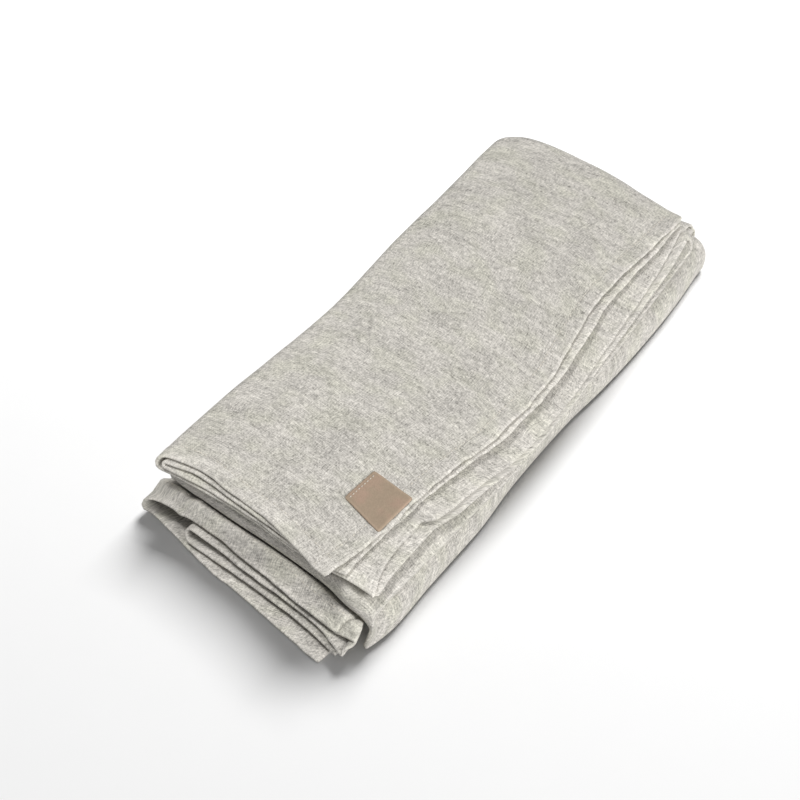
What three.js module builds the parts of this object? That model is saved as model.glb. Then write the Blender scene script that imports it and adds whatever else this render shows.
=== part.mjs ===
// Folded linen tablecloth with a small sewn-on label, lying flat.
// Millimetres. X runs across the bundle towards the open hems, Y along it to the
// closed far end, Z up. The underside rests on Z = 0.
import * as THREE from 'three';

// the cloth and its label
const HEIGHT = 51;
const CLOTH_THICKNESS = 1.8;
const HALF_CLOTH = CLOTH_THICKNESS / 2;
const LABEL_WIDTH = 34;
const LABEL_DEPTH = 30;
const LABEL_THICKNESS = 1;
const LABEL_GAP = 0.35;
const LABEL_TURN = -0.14;
const LABEL_AT = { x: 54.5, y: -139.8 };

// the middle of the footprint, taken off every point so that the bundle sits on the origin
const CENTRE = { x: 7.65, y: -0.14 };

// how finely folds, turns and runs are divided
const FOLD_STEPS = 5;
const TURN_STEPS = 5;
const RUN_SHARES = [0, 0.2, 0.42, 0.62, 0.78, 0.88, 0.94, 1];
const LENGTH_SHARES = [0, 0.04, 0.12, 0.22, 0.35, 0.46, 0.56, 0.68, 0.8, 0.9, 1];

// The cloth is first folded across into four layers: first hem, outer fold at the left,
// layer four, fold at the right, layer three, inner fold at the left, second hem.
// That strip then zigzags along the bundle in four arms, from the top down.
// z1 and z4 are the heights of layers one and four, left is where the outer left fold
// reaches, inset how far inside it the inner one stays.
const ARMS = [
  { name: 'top', z1: HEIGHT - HALF_CLOTH, z4: 40.6, left: -82, inset: 5 },
  { name: 'upper', z1: 30, z4: 37.9, left: -79, inset: 6 },
  { name: 'lower', z1: 27.4, z4: 19.5, left: -80, inset: 6 },
  { name: 'bottom', z1: HALF_CLOTH, z4: 15.5, left: -84, inset: 35 },
];
const STARTS_NEAR = [true, false, true, false];
const NEAR_STATION = -200;
const FAR_STATION = 200;

// How far the right-hand edges reach across, at stations along the bundle: the two hems
// and the outer fold of the top arm by layer, the fold of the arm under it, and the
// outside of the wrap at the floor.
const RIGHT_EDGES = [
  { y: -205, hem1: 62.5, hem2: 71.5, fold3: 94.5, fold4: 91.5, under: 95.5, wrap: 95 },
  { y: -180, hem1: 67.5, hem2: 73, fold3: 85.5, fold4: 91.2, under: 96, wrap: 100.5 },
  { y: -150, hem1: 72, hem2: 75, fold3: 82.8, fold4: 91.4, under: 97, wrap: 100 },
  { y: -139, hem1: 73, hem2: 76, fold3: 83.6, fold4: 91.4, under: 97.8, wrap: 100 },
  { y: -133, hem1: 73.5, hem2: 76.5, fold3: 88.3, fold4: 91.6, under: 98, wrap: 100 },
  { y: -115, hem1: 75, hem2: 78, fold3: 92.4, fold4: 96, under: 98.4, wrap: 100 },
  { y: -90, hem1: 77.5, hem2: 81, fold3: 95.3, fold4: 98.5, under: 99.3, wrap: 100 },
  { y: -50, hem1: 83.5, hem2: 86.5, fold3: 101.5, fold4: 102.5, under: 101.5, wrap: 97 },
  { y: 15, hem1: 84, hem2: 87, fold3: 101.3, fold4: 102.3, under: 100, wrap: 96.5 },
  { y: 60, hem1: 76.5, hem2: 82, fold3: 97.2, fold4: 99.3, under: 99, wrap: 99.5 },
  { y: 100, hem1: 72, hem2: 77, fold3: 93.8, fold4: 96.7, under: 97.2, wrap: 100.5 },
  { y: 135, hem1: 72.5, hem2: 76, fold3: 90.2, fold4: 94, under: 94.3, wrap: 100 },
  { y: 165, hem1: 74.5, hem2: 77, fold3: 86, fold4: 91.9, under: 92.3, wrap: 98.5 },
  { y: 200, hem1: 76.5, hem2: 77, fold3: 80, fold4: 87.5, under: 90, wrap: 95 },
];

// The same for the bottom arm: its hem on the floor, and its fold.
const BOTTOM_EDGES = [
  { y: -205, hem: 76.5, fold: 94 },
  { y: -194, hem: 78, fold: 93 },
  { y: -184, hem: 79, fold: 88.5 },
  { y: -170, hem: 80, fold: 87.2 },
  { y: -50, hem: 80, fold: 84 },
  { y: 15, hem: 80, fold: 83 },
  { y: 60, hem: 80, fold: 86 },
  { y: 100, hem: 80, fold: 87.2 },
  { y: 165, hem: 80, fold: 85.3 },
  { y: 200, hem: 78, fold: 82 },
];

// Where the arms end along the bundle, at places across it: the top arm's open edges by
// layer, and the closed turns.
const ARM_ENDS = [
  { x: -84, top1: -194, top2: -196, top3: -197, farTop: 190, turn: -180, farLow: 186 },
  { x: -70, top1: -189.5, top2: -192.5, top3: -194.5, farTop: 203, turn: -181, farLow: 199 },
  { x: -50, top1: -186.5, top2: -189.5, top3: -193.5, farTop: 208, turn: -182, farLow: 206 },
  { x: -20, top1: -190, top2: -191.5, top3: -193, farTop: 208, turn: -183.5, farLow: 209 },
  { x: 10, top1: -192.5, top2: -193.5, top3: -193.5, farTop: 206, turn: -184.2, farLow: 211 },
  { x: 40, top1: -199.3, top2: -195.5, top3: -195, farTop: 201, turn: -186, farLow: 213 },
  { x: 60, top1: -204, top2: -195.5, top3: -196, farTop: 198, turn: -188, farLow: 215 },
  { x: 78, top1: -204.5, top2: -193.5, top3: -194.5, farTop: 196, turn: -192.5, farLow: 215 },
  { x: 95, top1: -202, top2: -193, top3: -192.8, farTop: 196, turn: -196, farLow: 212 },
  { x: 112, top1: -202, top2: -193, top3: -192.5, farTop: 196, turn: -198, farLow: 208 },
];

// The same for the open end of the bottom arm, layer by layer.
const BOTTOM_ENDS = [
  { x: -84, end1: -204.5, end2: -209, end3: -207, end4: -206.5 },
  { x: -70, end1: -208, end2: -209.5, end3: -207, end4: -203 },
  { x: -50, end1: -212.3, end2: -211, end3: -206.5, end4: -203.3 },
  { x: -20, end1: -218.7, end2: -213.2, end3: -208.8, end4: -204.2 },
  { x: 10, end1: -222.3, end2: -214.4, end3: -211.2, end4: -207 },
  { x: 40, end1: -226.3, end2: -216.4, end3: -212, end4: -211 },
  { x: 60, end1: -229, end2: -218.5, end3: -214.2, end4: -213.4 },
  { x: 78, end1: -231, end2: -222, end3: -219.5, end4: -215 },
  { x: 95, end1: -231, end2: -224, end3: -226, end4: -214.5 },
];

// Past the hems the folded layers sink towards the right: how far by the end of the slope.
const SINK = {
  top: { three: 3.8, four: 6, from: 70, to: 92 },
  upper: { three: 8.7, four: 8.7, from: 66, to: 92 },
};

// The wrap: past a line along the right side the layers bend down to the floor about
// this height, the more the lower they lie.
const BEND_HEIGHT = 9;
const WRAP_RADIUS = 13.1;
const WRAP_INNER_RADIUS = 10.5;
const WRAP_HANG = 6;
const WRAP_TRAIL = 9;

// The left side's line and the bundle's height, at stations along it: a slight waist.
const WAIST = [
  { y: -230, left: 1, height: 1 },
  { y: -127, left: 2, height: 1 },
  { y: -95, left: 4, height: 0.995 },
  { y: -50, left: 6, height: 0.96 },
  { y: -15, left: 6, height: 0.94 },
  { y: 25, left: 4, height: 0.955 },
  { y: 65, left: 2, height: 0.985 },
  { y: 117, left: 1, height: 1 },
  { y: 186, left: -2, height: 1 },
  { y: 230, left: 0, height: 1 },
];

// Broad pressed-in creases of the top layers: middle, direction, half length and half
// width of each, and how deep it is.
const CREASES = [
  { x: -20, y: -110, turn: -0.25, long: 60, wide: 11, deep: 1.1 },
  { x: 25, y: -70, turn: -0.3, long: 50, wide: 9, deep: 0.9 },
  { x: -30, y: -165, turn: 0.12, long: 45, wide: 10, deep: -0.9 },
  { x: -5, y: 80, turn: -0.35, long: 65, wide: 12, deep: 1.1 },
  { x: 20, y: 135, turn: -0.45, long: 55, wide: 10, deep: -0.8 },
  { x: -35, y: 165, turn: 0.2, long: 50, wide: 11, deep: 0.9 },
];

// Smooth value of one column of a table, between the rows around a place.
function lookUp(table, place, column, at) {
  const last = table.length - 1;
  const here = Math.min(Math.max(at, table[0][place]), table[last][place]);
  let row = 0;
  while (row < last - 1 && table[row + 1][place] <= here) row += 1;
  const slope = (i) => {
    const before = table[Math.max(i - 1, 0)];
    const after = table[Math.min(i + 1, last)];
    return (after[column] - before[column]) / (after[place] - before[place]);
  };
  const from = table[row];
  const to = table[row + 1];
  const gap = to[place] - from[place];
  const t = (here - from[place]) / gap;
  const ease = t * t * (3 - 2 * t);
  const startPull = t * (1 - t) * (1 - t) * gap * slope(row);
  const endPull = t * t * (t - 1) * gap * slope(row + 1);
  return from[column] + (to[column] - from[column]) * ease + startPull + endPull;
}

function easeBetween(from, to, value) {
  const t = Math.min(Math.max((value - from) / (to - from), 0), 1);
  return t * t * (3 - 2 * t);
}

function layerHeight(arm, depth, x) {
  const height = arm.z1 + (arm.z4 - arm.z1) * depth / 3;
  if (arm.name === 'bottom') {
    // the inner layers gape apart towards their fold at the left
    const wider = 2 * Math.max(1 - Math.abs(depth - 2), 0) - 1.5 * Math.max(1 - Math.abs(depth - 1), 0);
    return height + wider * easeBetween(-5, -45, x);
  }
  const sink = SINK[arm.name];
  if (!sink) return height;
  const reach = easeBetween(sink.from, sink.to, x);
  if (arm.name === 'upper') return height - sink.four * reach;
  const three = sink.three * easeBetween(1, 2, depth);
  const four = (sink.four - sink.three) * Math.min(Math.max(depth - 2, 0), 1);
  return height - (three + four) * reach;
}

function bendLine(y) {
  return lookUp(RIGHT_EDGES, 'y', 'wrap', y) - WRAP_RADIUS;
}

// Where the four layers of an arm end at the right, before the wrap is bent down.
function rightEnds(armIndex, y) {
  const edge = (column) => lookUp(RIGHT_EDGES, 'y', column, y);
  const line = bendLine(y);
  const quarter = Math.PI / 2;
  const wrapOuter = line + WRAP_RADIUS * quarter + WRAP_HANG;
  const wrapInner = line + WRAP_INNER_RADIUS * quarter + WRAP_HANG;
  const lowFold = lookUp(BOTTOM_EDGES, 'y', 'fold', y);
  const table = [
    [edge('hem1'), edge('hem2'), edge('fold3'), edge('fold4')],
    [59, 57, edge('under') - 1, edge('under')],
    [line - 8, line - 4, wrapOuter, wrapInner],
    [lookUp(BOTTOM_EDGES, 'y', 'hem', y), lowFold - 9, lowFold - 2.5, lowFold],
  ];
  return table[armIndex];
}

// The four-layer section of one arm at one station, from the first hem to the second.
function sectionAt(armIndex, y) {
  const arm = ARMS[armIndex];
  const height = (depth, x) => layerHeight(arm, depth, x);
  const right = rightEnds(armIndex, y);
  const inner = arm.left + arm.inset;
  const outerLeft = arm.left + Math.abs(height(0, inner) - height(3, inner)) / 2;
  const innerLeft = inner + Math.abs(height(1, inner) - height(2, inner)) / 2;
  const rightBulge = Math.abs(height(3, right[3]) - height(2, right[2])) / 2;
  const points = [];
  const run = (from, to, depth) => {
    const left = Math.min(from, to);
    const span = Math.abs(to - from);
    const shares = from > to ? [...RUN_SHARES].reverse() : RUN_SHARES;
    for (const share of shares) {
      const x = left + span * share;
      points.push({ x, z: height(depth, x), depth });
    }
  };
  const fold = (side, fromDepth, toDepth, fromX, toX) => {
    const fromZ = height(fromDepth, fromX);
    const toZ = height(toDepth, toX);
    const bulge = Math.abs(fromZ - toZ) / 2;
    for (let k = 1; k < FOLD_STEPS; k += 1) {
      const turn = Math.PI * k / FOLD_STEPS;
      const done = (1 - Math.cos(turn)) / 2;
      points.push({
        x: fromX + (toX - fromX) * done + side * bulge * Math.sin(turn),
        z: fromZ + (toZ - fromZ) * done,
        depth: fromDepth + (toDepth - fromDepth) * done,
      });
    }
  };
  run(right[0], outerLeft, 0);
  fold(-1, 0, 3, outerLeft, outerLeft);
  run(outerLeft, right[3] - rightBulge, 3);
  fold(1, 3, 2, right[3] - rightBulge, right[2] - rightBulge);
  run(right[2] - rightBulge, innerLeft, 2);
  fold(-1, 2, 1, innerLeft, innerLeft);
  run(innerLeft, right[1], 1);
  return points;
}

// Where a point of an arm's section lies at the arm's near and far end.
function nearEnd(armIndex, point) {
  if (armIndex === 1 || armIndex === 2) return lookUp(ARM_ENDS, 'x', 'turn', point.x);
  const [table, columns] = armIndex === 0
    ? [ARM_ENDS, ['top1', 'top2', 'top3', 'top3']]
    : [BOTTOM_ENDS, ['end1', 'end2', 'end3', 'end4']];
  const [one, two, three, four] = columns.map((column) => lookUp(table, 'x', column, point.x));
  if (point.depth > 2) return three + (four - three) * easeBetween(2.3, 2.7, point.depth);
  if (point.depth > 1) return two + (three - two) * (point.depth - 1);
  return one + (two - one) * point.depth;
}

function farEnd(armIndex, point) {
  return lookUp(ARM_ENDS, 'x', armIndex < 2 ? 'farTop' : 'farLow', point.x);
}

// Bends the right side down into the wrap, whose near end trails out on the floor.
function bendDown(p) {
  const line = bendLine(p.y);
  const radius = p.z - BEND_HEIGHT;
  if (p.x <= line || radius <= 0) return p;
  const angle = Math.min((p.x - line) / radius, Math.PI / 2);
  const hang = Math.max(p.x - line - radius * Math.PI / 2, 0);
  const x = line + radius * Math.sin(angle);
  const z = BEND_HEIGHT + radius * Math.cos(angle) - hang;
  const low = easeBetween(16, 2, z) * easeBetween(88, 92, x);
  return { x, y: p.y - WRAP_TRAIL * low * easeBetween(-150, -195, p.y), z };
}

function creaseDepth(x, y) {
  let depth = 0;
  for (const crease of CREASES) {
    const c = Math.cos(crease.turn);
    const s = Math.sin(crease.turn);
    const along = ((x - crease.x) * c + (y - crease.y) * s) / crease.long;
    const across = ((y - crease.y) * c - (x - crease.x) * s) / crease.wide;
    depth += crease.deep * Math.exp(-along * along - across * across);
  }
  return depth;
}

// The waist, and the creases that fade out towards the floor.
function settle(p) {
  const waist = lookUp(WAIST, 'y', 'left', p.y) * easeBetween(-20, -80, p.x);
  const squeeze = lookUp(WAIST, 'y', 'height', p.y);
  const above = (p.z - HALF_CLOTH) / HEIGHT;
  return {
    x: p.x + waist,
    y: p.y,
    z: HALF_CLOTH + (p.z - HALF_CLOTH) * squeeze - creaseDepth(p.x, p.y) * Math.max(above, 0),
  };
}

// The middle of the cloth as rows of points: one row for each step along the zigzag.
function clothRows() {
  const rows = [];
  const addRow = (points, bent) => {
    rows.push(points.map((p) => {
      const q = settle(bent ? bendDown(p) : p);
      return new THREE.Vector3(q.x - CENTRE.x, q.y - CENTRE.y, q.z);
    }));
  };
  ARMS.forEach((arm, index) => {
    const near = STARTS_NEAR[index];
    const isLast = index === ARMS.length - 1;
    for (const share of LENGTH_SHARES) {
      const along = near ? share : 1 - share;
      const y = NEAR_STATION + (FAR_STATION - NEAR_STATION) * along;
      const points = sectionAt(index, y).map((p) => {
        const start = nearEnd(index, p);
        return { x: p.x, y: start + (farEnd(index, p) - start) * along, z: p.z };
      });
      addRow(points, !isLast);
    }
    if (isLast) return;
    const turnY = near ? farEnd : nearEnd;
    const station = near ? FAR_STATION : NEAR_STATION;
    const outward = near ? 1 : -1;
    const from = sectionAt(index, station);
    const to = sectionAt(index + 1, station);
    for (let k = 1; k < TURN_STEPS; k += 1) {
      const turn = Math.PI * k / TURN_STEPS;
      const done = (1 - Math.cos(turn)) / 2;
      const points = from.map((p, i) => {
        const q = to[i];
        const startY = turnY(index, p);
        const bulge = Math.abs(p.z - q.z) / 2 * Math.sin(turn);
        return {
          x: p.x + (q.x - p.x) * done,
          y: startY + (turnY(index + 1, q) - startY) * done + outward * bulge,
          z: p.z + (q.z - p.z) * done,
        };
      });
      addRow(points, true);
    }
  });
  return rows;
}

// A closed sheet of even thickness about rows of points.
function thicken(rows, thickness) {
  const last = rows.length - 1;
  const lastInRow = rows[0].length - 1;
  const sides = { upper: [], lower: [] };
  rows.forEach((row, r) => row.forEach((p, c) => {
    const along = rows[Math.min(r + 1, last)][c].clone().sub(rows[Math.max(r - 1, 0)][c]);
    const across = row[Math.min(c + 1, lastInRow)].clone().sub(row[Math.max(c - 1, 0)]);
    const out = across.cross(along).normalize().multiplyScalar(thickness / 2);
    sides.upper.push(p.clone().add(out));
    sides.lower.push(p.clone().sub(out));
  }));
  const points = [...sides.upper, ...sides.lower];
  const width = lastInRow + 1;
  const under = sides.upper.length;
  const at = (r, c) => r * width + c;
  const faces = [];
  const quad = (a, b, c, d) => faces.push(a, b, c, a, c, d);
  for (let r = 0; r < last; r += 1) {
    for (let c = 0; c < lastInRow; c += 1) {
      quad(at(r, c), at(r, c + 1), at(r + 1, c + 1), at(r + 1, c));
      quad(under + at(r, c), under + at(r + 1, c), under + at(r + 1, c + 1), under + at(r, c + 1));
    }
    quad(at(r, 0), at(r + 1, 0), under + at(r + 1, 0), under + at(r, 0));
    quad(at(r + 1, lastInRow), at(r, lastInRow), under + at(r, lastInRow), under + at(r + 1, lastInRow));
  }
  for (let c = 0; c < lastInRow; c += 1) {
    quad(at(0, c + 1), at(0, c), under + at(0, c), under + at(0, c + 1));
    quad(at(last, c), at(last, c + 1), under + at(last, c + 1), under + at(last, c));
  }
  const geometry = new THREE.BufferGeometry();
  const numbers = points.flatMap((p) => [p.x, p.y, p.z]);
  geometry.setAttribute('position', new THREE.Float32BufferAttribute(numbers, 3));
  geometry.setIndex(faces);
  geometry.computeVertexNormals();
  return geometry;
}

// The label: a nearly square patch lying just above the top layer, slightly turned.
function labelRows() {
  const steps = 6;
  const rows = [];
  for (let r = 0; r <= steps; r += 1) {
    const row = [];
    for (let c = 0; c <= steps; c += 1) {
      const u = (c / steps - 0.5) * LABEL_WIDTH;
      const v = (r / steps - 0.5) * LABEL_DEPTH;
      const x = LABEL_AT.x + u * Math.cos(LABEL_TURN) - v * Math.sin(LABEL_TURN);
      const y = LABEL_AT.y + u * Math.sin(LABEL_TURN) + v * Math.cos(LABEL_TURN);
      const top = settle({ x, y, z: HEIGHT - HALF_CLOTH });
      const z = top.z + HALF_CLOTH + LABEL_GAP + LABEL_THICKNESS / 2;
      row.push(new THREE.Vector3(x - CENTRE.x, y - CENTRE.y, z));
    }
    rows.push(row);
  }
  return rows;
}

function piece(name, geometry, colour, roughness) {
  const material = new THREE.MeshStandardMaterial({ color: colour, roughness, metalness: 0 });
  const mesh = new THREE.Mesh(geometry, material);
  mesh.name = name;
  return mesh;
}

const tablecloth = new THREE.Group();
tablecloth.name = 'folded_tablecloth';
tablecloth.add(piece('cloth', thicken(clothRows(), CLOTH_THICKNESS), 0xc9c6bb, 0.92));
tablecloth.add(piece('label', thicken(labelRows(), LABEL_THICKNESS), 0xb79a7c, 0.75));

export default tablecloth;
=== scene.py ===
import math

import bpy
import numpy as np
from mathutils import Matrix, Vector
from mathutils.bvhtree import BVHTree


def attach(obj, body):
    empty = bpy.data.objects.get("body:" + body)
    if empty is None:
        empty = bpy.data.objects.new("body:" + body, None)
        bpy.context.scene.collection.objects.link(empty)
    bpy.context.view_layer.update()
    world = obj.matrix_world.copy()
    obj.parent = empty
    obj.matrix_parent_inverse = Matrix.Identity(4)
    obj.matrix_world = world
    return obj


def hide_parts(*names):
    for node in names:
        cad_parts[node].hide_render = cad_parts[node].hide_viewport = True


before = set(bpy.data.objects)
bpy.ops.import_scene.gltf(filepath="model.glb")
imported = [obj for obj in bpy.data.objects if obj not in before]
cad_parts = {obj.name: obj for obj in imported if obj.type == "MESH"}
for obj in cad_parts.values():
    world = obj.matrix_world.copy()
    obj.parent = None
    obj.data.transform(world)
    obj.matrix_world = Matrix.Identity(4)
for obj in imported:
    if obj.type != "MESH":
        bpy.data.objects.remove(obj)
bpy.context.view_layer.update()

# A folded linen tablecloth with a small sewn-on label. Shapes are worked out in
# millimetres, across the bundle (x), along it (y) and up (z), and become metres in the
# part's own frame when a mesh is made. In the settings below a pair of places, such as
# x=(45, 70), is where a form fades in: not at all at the first, and fully at the second.
MM = 0.001
SEED = 20

# Sizes of the solids, which the cloth here follows: the height of the bundle, half their
# cloth's thickness, and the point that becomes the middle of the part.
HEIGHT = 51.0
HALF_SOLID = 0.9
CENTRE_X = 7.65
CENTRE_Y = -0.14

# Thickness of the linen, and of its hems, which are turned twice. The seam lies in from the
# edge, and the stitches draw the hem in along it.
CLOTH = 1.45
HEM = 2.1
HEM_WIDTH = 12.0
HEM_STEP = 2.2
STITCH_IN = 10.6
SEAM_WIDE = 0.9
SEAM_DEEP = 0.9

# The cloth is first folded across into four layers: first hem, outer fold at the left,
# layer four, fold at the right, layer three, inner fold at the left, second hem.
# That strip then zigzags along the bundle in four arms, from the top down.
# z1 and z4 are the heights of layers one and four.
ARMS = [
    dict(name="top", z1=HEIGHT - HALF_SOLID, z4=40.6, left=-82, inset=5),
    dict(name="upper", z1=30.0, z4=37.9, left=-79, inset=6),
    dict(name="lower", z1=27.4, z4=19.5, left=-80, inset=6),
    dict(name="bottom", z1=CLOTH / 2, z4=15.5, left=-84, inset=35),
]
STARTS_NEAR = [True, False, True, False]

# The places along the bundle whose sections an arm has at its near and far end.
NEAR_STATION = -200.0
FAR_STATION = 200.0

# How far the right-hand edges reach across, at stations along the bundle: the two hems
# and the outer fold of the top arm, the fold of the arm under it, and the outside of the
# wrap.
RIGHT_EDGES = dict(
    y=[-205, -180, -150, -139, -133, -115, -90, -50, 15, 60, 100, 135, 165, 200],
    hem_one=[62.5, 68.3, 73, 73.3, 73.6, 75, 77.5, 83.5, 84, 76.5, 72, 72.5, 74.5, 76.5],
    hem_two=[71.5, 71.8, 73.8, 74.6, 75.2, 77.6, 81, 86.8, 87.6, 82.6, 78, 77.2, 77.6, 77],
    fold_three=[94.5, 85.5, 82.8, 83.6, 88.3, 92.4, 95.3, 101.5, 101.3, 97.2, 93.8, 90.2, 86, 80],
    fold_four=[91.5, 91.2, 91.4, 91.4, 91.6, 96, 98.5, 102.5, 102.3, 99.3, 96.7, 94, 91.9, 87.5],
    fold_under=[95.5, 96, 97, 97.8, 98, 98.4, 99.3, 101.5, 100, 99, 97.2, 94.3, 92.3, 90],
    wrap=[95, 100.5, 100, 100, 100, 100, 100, 97, 96.5, 99.5, 100.5, 100, 98.5, 95],
)

# The same for the bottom arm: its hem on the floor, and its fold.
BOTTOM_EDGES = dict(
    y=[-205, -194, -184, -170, -50, 15, 60, 100, 165, 200],
    hem=[76.5, 78, 79, 80, 80, 80, 80, 80, 80, 78],
    fold=[94, 93, 88.5, 87.2, 84, 83, 86, 87.2, 85.3, 82],
)

# Where the arms end along the bundle, at places across it.
ARM_ENDS = dict(
    x=[-84, -70, -50, -20, 10, 40, 60, 78, 95, 112],
    top_one=[-194, -189.5, -186.5, -190, -192.5, -199.3, -204, -204.5, -202, -202],
    top_two=[-196, -192.5, -189.5, -191.5, -193.5, -195.5, -195.5, -193.5, -193, -193],
    top_under=[-197, -194.5, -193.5, -193, -193.5, -195, -196, -194.5, -192.8, -192.5],
    far_top=[190, 203, 208, 208, 206, 201, 198, 196, 196, 196],
    near_turn=[-180, -181, -182, -183.5, -184.2, -186, -188, -192.5, -196, -198],
    far_low=[186, 199, 206, 209, 211, 213, 215, 215, 212, 208],
)

# The same for the open end of the bottom arm, layer by layer.
BOTTOM_ENDS = dict(
    x=[-84, -70, -50, -20, 10, 40, 60, 78, 95],
    four=[-206.5, -203, -203.3, -204.2, -207, -211, -213.4, -215, -214.5],
    three=[-207, -207, -206.5, -208.8, -211.2, -212, -214.2, -219.5, -226],
    two=[-209, -209.5, -211, -213.2, -214.4, -216.4, -218.5, -222, -224],
    one=[-204.5, -208, -212.3, -218.7, -222.3, -226.3, -229, -231, -231],
)

# Layer four of the top arm is drawn in at its near end, under the edge of layer three. The
# step from one layer's end to the other's lies inside their fold, between two depths.
DRAWN_IN = dict(by=4.5, x=(45, 70))
STEP_IN_FOLD = (2.1, 2.9)

# Past the hems the folded layers sink towards the right: how far they have sunk by the
# end of the slope, and where the slope starts and ends.
SINK = {
    "top": dict(three=3.8, four=6.0, start=70, end=92),
    "upper": dict(three=8.7, four=8.7, start=66, end=92),
}

# The bottom arm's inner layers gape apart towards their fold at the left.
GAPE = dict(x=(-5, -45), three_up=2.0, two_down=1.5)

# Right ends of the layers inside the lower arms: the upper arm's hems, and how far short of
# the fold or the bend line the others stop.
UPPER_HEMS = (59, 57)
UPPER_SHORT = 1
LOWER_SHORT = (8, 4)
BOTTOM_SHORT = (9, 2.5)

# The outer folds of the top and bottom arms are pressed in between two creases: where in the
# fold, and how deep. The top one is uneven, and deepest where its upper crease curls up.
NOTCH_AT = 0.62
NOTCH_WIDE = 0.2
TOP_NOTCH = dict(deep=4.4, waves=[(1.3, 7, 12)], deepest=8.0, y=-134.6, half=3.4)
BOTTOM_NOTCH = dict(deep=1.5, more=1.0, y=(-165, -200))
CURL = dict(high=2.6, y=-131.5, half=4.5, x=(78, 88), below=(1.9, 2.0), above=(2.35, 2.0))

# The top arm's open end droops, the bottom arm's top layer is humped up in front of the turn
# above it, and the bottom arm's outer fold is flared at its open end.
DROOP = dict(by=0.9, along=(10, 0))
HUMP = dict(high=8.4, lower=2.6, x=(30, 70), in_front=12.5, half=5.5, depths=(2.2, 3))
FLARE = dict(by=4.0, along=(45, 0), x=(-50, -84))

# The wrap: past a line along the right side the layers bend down to the floor. The radii are
# its outside's and inside's, the layers hang on a little past the bend, and the near end
# trails out on the floor.
BEND_HEIGHT = 9.0
WRAP_RADIUS = 13.1
WRAP_INNER_RADIUS = 10.5
WRAP_HANG = 6.0
TRAIL = dict(by=9.0, x=(88, 92), y=(-150, -195), z=(16, 2))

# The left side's line and the bundle's height along it: a slight waist, which moves only the
# bundle's left part sideways.
WAIST = dict(
    y=[-230, -127, -95, -50, -15, 25, 65, 117, 186, 230],
    left=[1, 2, 4, 6, 6, 4, 2, 1, -2, 0],
    height=[1, 1, 0.995, 0.96, 0.94, 0.955, 0.985, 1, 1, 1],
)
WAIST_X = (-20, -80)

# Broad pressed-in creases of the whole pack, as in the solids. Each row of these lists is one
# crease: its middle's x and y, its direction, half length, half width and depth.
BROAD_CREASES = [
    (-20, -110, -0.25, 60, 11, 1.1),
    (25, -70, -0.3, 50, 9, 0.9),
    (-30, -165, 0.12, 45, 10, -0.9),
    (-5, 80, -0.35, 65, 12, 1.1),
    (20, 135, -0.45, 55, 10, -0.8),
    (-35, 165, 0.2, 50, 11, 0.9),
]

# Soft wrinkles of the top sheet alone, from the photo; a minus is a ridge. They are
# made deeper by one share, and fade out below the top sheet.
WRINKLE_SHARE = 1.4
TOP_SHEET = (HEIGHT - 9, HEIGHT - 4)
WRINKLES = [
    (-65, -55, 0.0, 20, 2.6, -0.5),
    (15, -73, -0.18, 48, 3.0, -0.55),
    (-58, -90, -0.05, 28, 3.0, -0.45),
    (-65, -107, 0.0, 22, 5.5, 0.6),
    (-50, -116, -0.1, 16, 5.0, 0.45),
    (-50, -121, 0.05, 32, 2.6, -0.4),
    (30, -111, 0.0, 17, 2.6, 0.5),
    (45, -117, 0.1, 18, 3.0, -0.5),
    (0, -128, -0.03, 26, 4.0, 0.4),
    (-45, -139, -0.07, 28, 3.8, 0.45),
    (-70, -168, 0.0, 15, 4.0, 0.6),
    (42, -172, -0.1, 17, 4.0, 0.4),
    (0, -158, -0.12, 40, 3.0, -0.4),
    (-10, -96, -0.15, 45, 3.4, 0.35),
    (-30, -178, -0.05, 40, 3.5, 0.4),
    (-35, 65, -0.1, 26, 5.0, 0.5),
    (5, 76, -0.2, 58, 4.5, -0.6),
    (42, 80, -0.38, 30, 4.0, 0.65),
    (50, 56, -0.75, 22, 3.0, 0.5),
    (38, 48, -0.6, 26, 3.0, -0.4),
    (57, 66, -0.45, 16, 2.6, 0.5),
    (44, 150, -0.85, 24, 3.4, 0.6),
    (27, 184, -1.2, 16, 4.0, 0.5),
    (-20, 156, -0.1, 24, 3.6, 0.4),
    (-68, 184, 0.5, 9, 4.0, 0.6),
    (-50, 172, 0.35, 26, 3.0, -0.4),
    (-60, 126, 0.06, 24, 3.0, 0.4),
    (-18, 122, 1.52, 34, 1.8, 0.25),
    (25, 140, 1.5, 40, 1.8, 0.2),
    (-30, 34, -0.15, 34, 3.2, -0.4),
    (20, 24, -0.3, 36, 3.0, -0.4),
]

# Creases of the bottom arm's top layer in front of the near turn: a pucker near its left
# end, and the line where its side hem is turned in.
BOTTOM_CREASES = [
    (-57, -195, 1.45, 11, 2.8, 3.0),
    (-49, -196, 1.5, 11, 4.0, -1.4),
    (-8, -200, 1.35, 9, 4.0, 0.7),
    (40, -204, 1.4, 8, 4.0, 0.8),
    (82.4, -206, 1.28, 12, 1.5, 2.6),
]

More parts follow.
